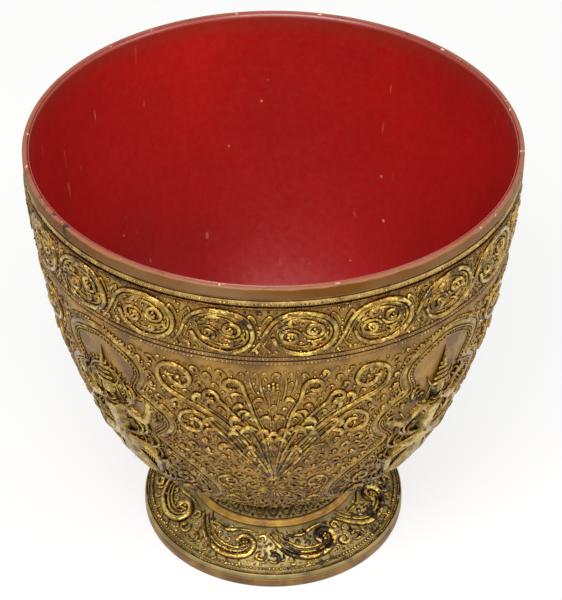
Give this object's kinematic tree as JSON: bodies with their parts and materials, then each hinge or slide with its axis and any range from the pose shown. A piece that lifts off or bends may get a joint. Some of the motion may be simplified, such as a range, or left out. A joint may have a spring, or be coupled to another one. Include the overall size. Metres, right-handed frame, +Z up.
{
  "type": "footed bowl",
  "caption": "Footed offering bowl of thin coiled bamboo, red lacquered inside and gilt outside, with moulded relief of scrolls, foliage and figures in cusped frames.",
  "frame": {"origin": "on the floor, at the middle of the foot's underside", "axes": "+Z up along the bowl's axis, -Y towards the pictured front"},
  "size_m": [0.2604, 0.2604, 0.252],
  "materials": {
    "gilded_bamboo": "worn gilding over dark lacquer on coiled split bamboo",
    "gilded_putty": "worn satin gilding on moulded lacquer putty",
    "dark_gilt_putty": "dark worn gilding on moulded lacquer putty",
    "plain_gilt": "smooth worn gilding",
    "red_lacquer": "glossy",
    "worn_lip": "rubbed lacquer, worn through at the edge"
  },
  "bodies": {
    "root": {"bowl_core": "gilded_bamboo", "red_lining": "red_lacquer", "rim_hoop": "worn_lip", "upper_bead_ring": "gilded_putty", "upper_line_ring": "gilded_putty", "frieze_roundel_01": "gilded_putty", "frieze_roundel_02": "gilded_putty", "frieze_roundel_03": "gilded_putty", "frieze_roundel_04": "gilded_putty", "frieze_roundel_05": "gilded_putty", "frieze_roundel_06": "gilded_putty", "frieze_roundel_07": "gilded_putty", "frieze_roundel_08": "gilded_putty", "frieze_roundel_09": "gilded_putty", "frieze_roundel_10": "gilded_putty", "frieze_roundel_11": "gilded_putty", "frieze_roundel_12": "gilded_putty", "frieze_roundel_13": "gilded_putty", "frieze_roundel_14": "gilded_putty", "frieze_roundel_15": "gilded_putty", "frieze_roundel_16": "gilded_putty", "frieze_roundel_17": "gilded_putty", "frieze_roundel_18": "gilded_putty", "frieze_roundel_19": "gilded_putty", "frieze_roundel_20": "gilded_putty", "lower_bead_ring_1": "gilded_putty", "lower_bead_ring_2": "gilded_putty", "cartouche_frame_1": "gilded_putty", "cartouche_frame_2": "gilded_putty", "cartouche_frame_3": "gilded_putty", "cartouche_frame_4": "gilded_putty", "cartouche_figure_1": "gilded_putty", "cartouche_figure_2": "gilded_putty", "cartouche_figure_3": "gilded_putty", "cartouche_figure_4": "gilded_putty", "foliage_spray_1": "gilded_putty", "foliage_spray_2": "gilded_putty", "foliage_spray_3": "gilded_putty", "foliage_spray_4": "gilded_putty", "spray_rosette_1": "gilded_putty", "spray_rosette_2": "gilded_putty", "spray_rosette_3": "gilded_putty", "spray_rosette_4": "gilded_putty", "neck_petal_ring": "dark_gilt_putty", "foot_core": "gilded_bamboo", "foot_cove_ring": "plain_gilt", "foot_scroll_1": "gilded_putty", "foot_scroll_2": "gilded_putty", "foot_scroll_3": "gilded_putty", "foot_scroll_4": "gilded_putty", "foot_scroll_5": "gilded_putty", "foot_scroll_6": "gilded_putty", "foot_scroll_7": "gilded_putty", "foot_scroll_8": "gilded_putty", "foot_bead_ring": "gilded_putty", "foot_edge_band": "plain_gilt"}
  },
  "joints": []
}
